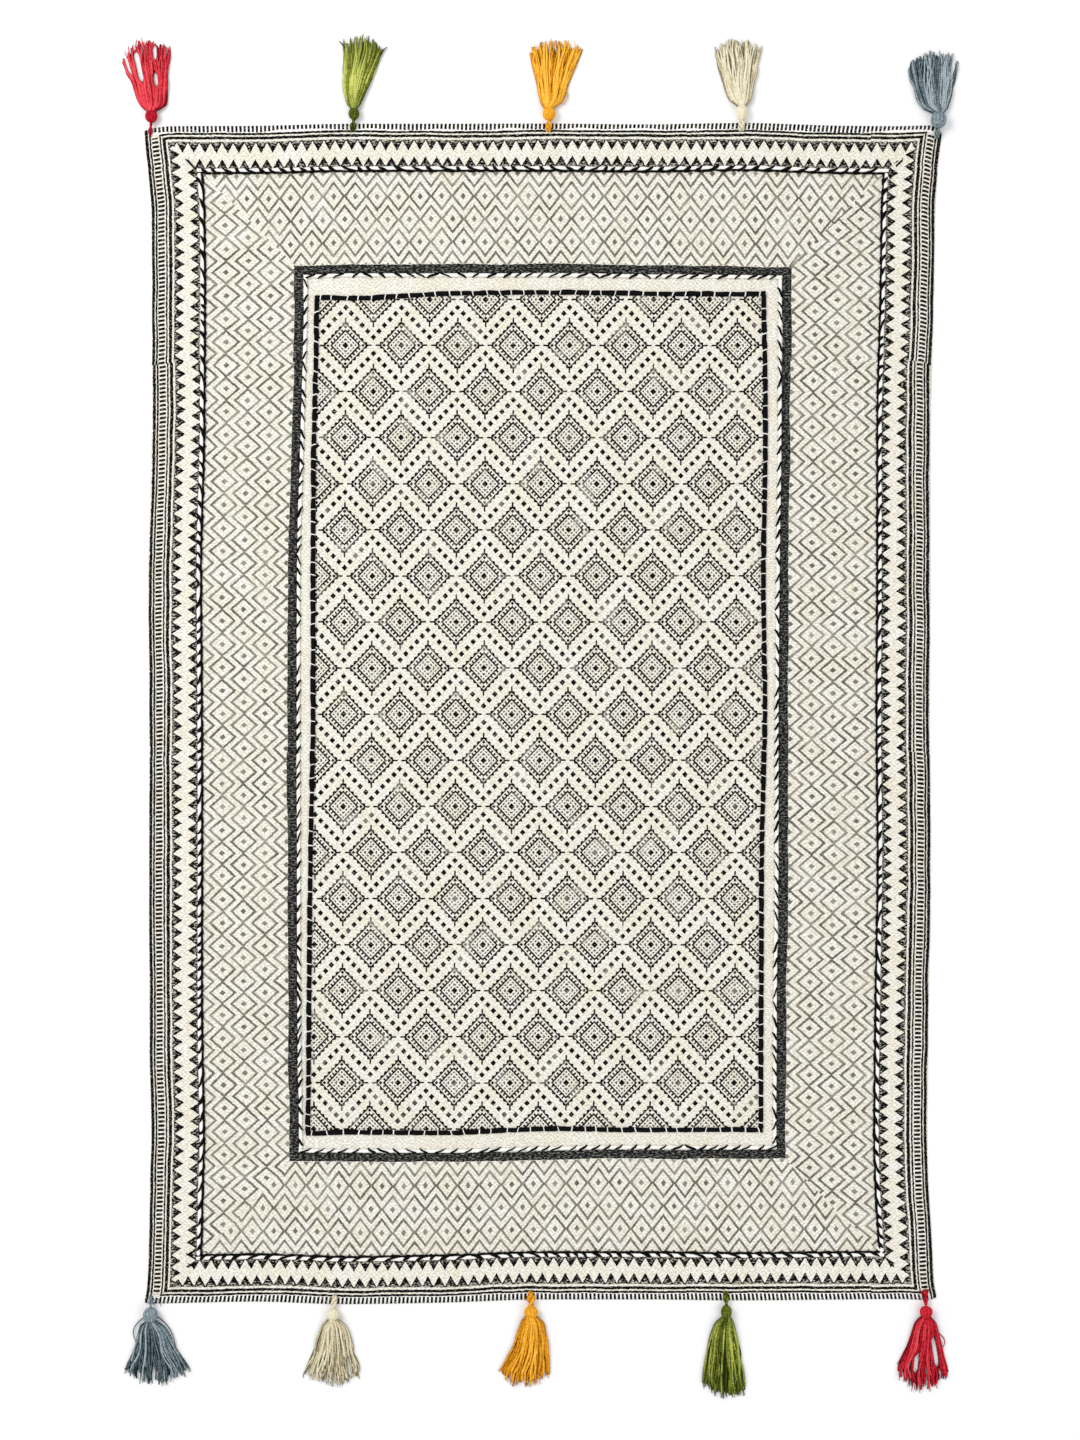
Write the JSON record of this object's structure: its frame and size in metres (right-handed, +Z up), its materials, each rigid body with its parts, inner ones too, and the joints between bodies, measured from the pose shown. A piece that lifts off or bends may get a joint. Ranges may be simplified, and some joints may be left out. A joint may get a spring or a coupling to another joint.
{
  "type": "flat-woven rug",
  "caption": "Flat-woven cotton rug, block printed with diamonds and sawtooth borders, with couched yarn lines and coloured tassels along both ends.",
  "frame": {"origin": "middle of the rug's flat underside, where it rests on the floor", "axes": "+Z up from the floor, +Y along the rug's length, +X across it, to the right in the picture"},
  "size_m": [1.3087, 2.1226, 0.0229],
  "materials": {
    "printed_cotton": "flat-woven cream cotton, block printed in black and grey",
    "white_yarn": "soft white cotton roving, bound with thin black yarn",
    "black_yarn": "thick black cotton yarn, sewn down with white stitches",
    "red_yarn": "dyed red cotton yarn, matt",
    "green_yarn": "dyed lime and olive green cotton yarn, matt",
    "mustard_yarn": "dyed mustard cotton yarn, matt",
    "cream_yarn": "undyed cream cotton yarn, matt",
    "grey_yarn": "dyed blue-grey cotton yarn, matt"
  },
  "bodies": {
    "root": {"rug": "printed_cotton", "outer_yarn_top": "white_yarn", "outer_yarn_bottom": "white_yarn", "outer_yarn_left": "white_yarn", "outer_yarn_right": "white_yarn", "middle_yarn_top": "white_yarn", "middle_yarn_bottom": "white_yarn", "middle_yarn_left": "white_yarn", "middle_yarn_right": "white_yarn", "inner_yarn_top": "black_yarn", "inner_yarn_bottom": "black_yarn", "inner_yarn_left": "black_yarn", "inner_yarn_right": "black_yarn", "top_red_loop": "red_yarn", "top_red_head": "red_yarn", "top_red_skirt": "red_yarn", "top_green_loop": "green_yarn", "top_green_head": "green_yarn", "top_green_skirt": "green_yarn", "top_mustard_loop": "mustard_yarn", "top_mustard_head": "mustard_yarn", "top_mustard_skirt": "mustard_yarn", "top_cream_loop": "cream_yarn", "top_cream_head": "cream_yarn", "top_cream_skirt": "cream_yarn", "top_grey_loop": "grey_yarn", "top_grey_head": "grey_yarn", "top_grey_skirt": "grey_yarn", "bottom_grey_loop": "grey_yarn", "bottom_grey_head": "grey_yarn", "bottom_grey_skirt": "grey_yarn", "bottom_cream_loop": "cream_yarn", "bottom_cream_head": "cream_yarn", "bottom_cream_skirt": "cream_yarn", "bottom_mustard_loop": "mustard_yarn", "bottom_mustard_head": "mustard_yarn", "bottom_mustard_skirt": "mustard_yarn", "bottom_green_loop": "green_yarn", "bottom_green_head": "green_yarn", "bottom_green_skirt": "green_yarn", "bottom_red_loop": "red_yarn", "bottom_red_head": "red_yarn", "bottom_red_skirt": "red_yarn"}
  },
  "joints": []
}
